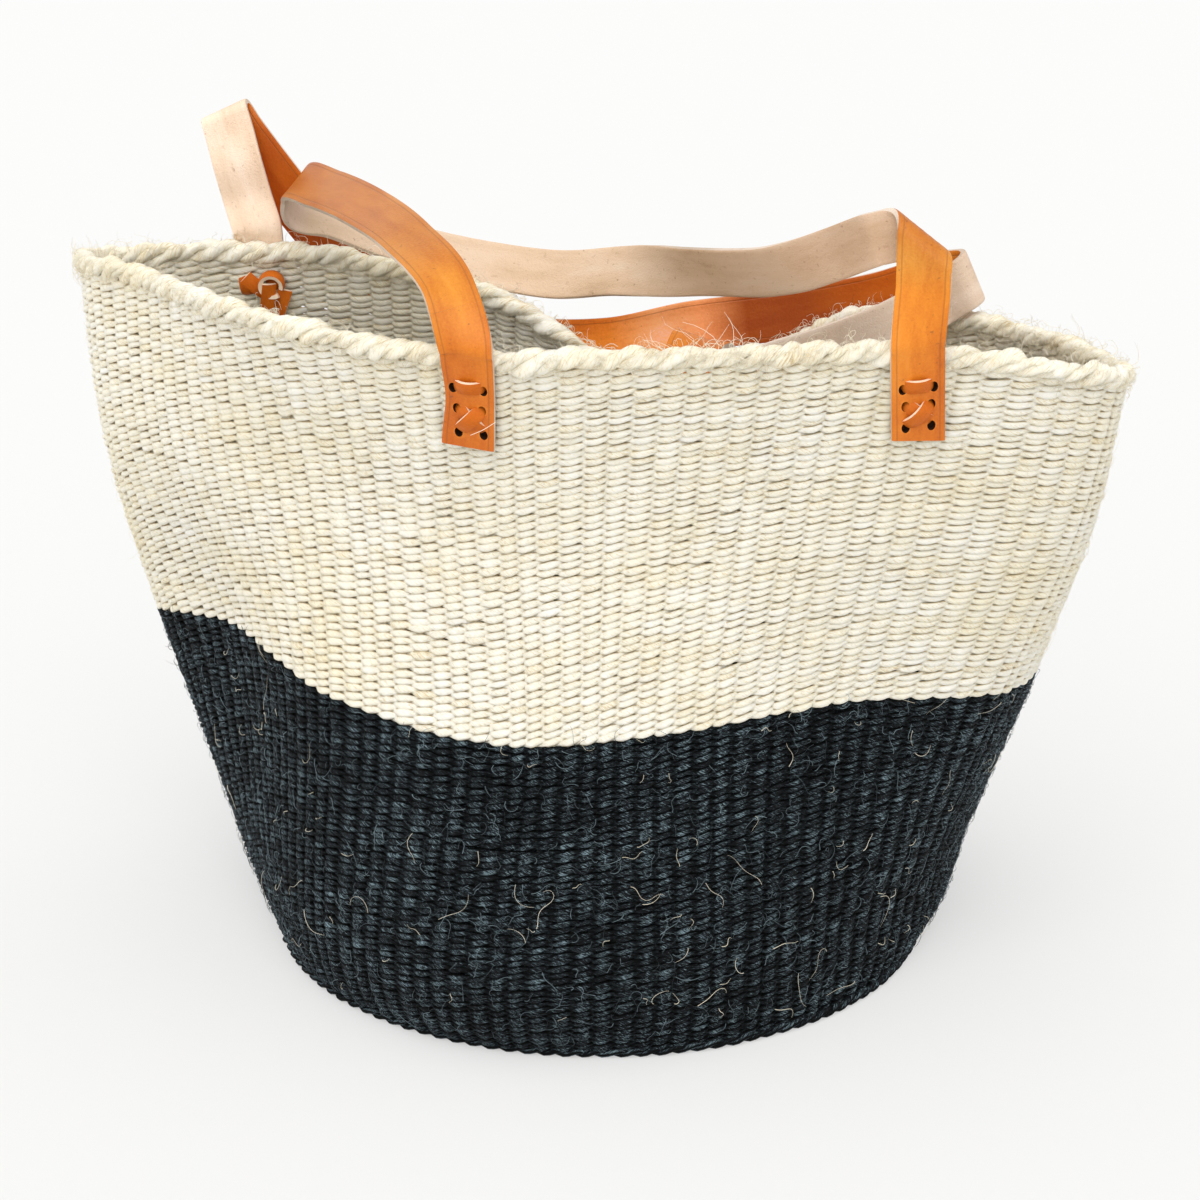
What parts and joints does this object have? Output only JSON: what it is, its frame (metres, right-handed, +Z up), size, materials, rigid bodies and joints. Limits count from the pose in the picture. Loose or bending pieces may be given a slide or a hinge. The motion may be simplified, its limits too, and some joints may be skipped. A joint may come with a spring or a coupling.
{
  "type": "kiondo basket",
  "caption": "Soft twined sisal basket, dark below and cream above, with a flat round base, an open mouth and leather strap handles laced to the rim that swing over it.",
  "frame": {"origin": "middle of the base's flat underside, on the surface that the basket stands on", "axes": "+Z up, X along the mouth's long way from the left tip to the right tip, -Y towards the front wall, where the front strap's tabs are laced"},
  "size_m": [0.5011, 0.3397, 0.3849],
  "materials": {
    "dark_sisal": "coarse matte twined fibre",
    "cream_sisal": "coarse matte twined fibre",
    "leather": "satin grain side, rough pale flesh side and cut edges"
  },
  "bodies": {
    "basket": {"woven_base": "dark_sisal", "dark_wall": "dark_sisal", "cream_wall": "cream_sisal", "rim_braid": "cream_sisal", "front_left_strap_tab": "leather", "front_right_strap_tab": "leather", "rear_left_strap_tab": "leather", "rear_right_strap_tab": "leather", "front_left_lace": "leather", "front_right_lace": "leather", "rear_left_lace": "leather", "rear_right_lace": "leather", "front_left_strap_flex": "leather", "front_right_strap_flex": "leather", "rear_left_strap_flex": "leather", "rear_right_strap_flex": "leather", "rear_strap_return": "leather"},
    "front_handle": {"front_strap_loop": "leather"},
    "rear_handle": {"rear_strap_loop": "leather"}
  },
  "joints": [
    {"name": "front_handle_swing", "type": "hinge", "parent": "basket", "child": "front_handle", "pos_m": [0.08604, -0.11739, 0.33591], "axis": [0.9362, 0.3512, 0.0144], "range_deg": [0, 150], "deforming": ["front_left_strap_flex", "front_right_strap_flex"]},
    {"name": "rear_handle_swing", "type": "hinge", "parent": "basket", "child": "rear_handle", "pos_m": [-0.0105, 0.0243, 0.3225], "axis": [0.9963, 0.085, -0.0149], "range_deg": [0, 75], "deforming": ["rear_left_strap_flex", "rear_right_strap_flex"]}
  ]
}
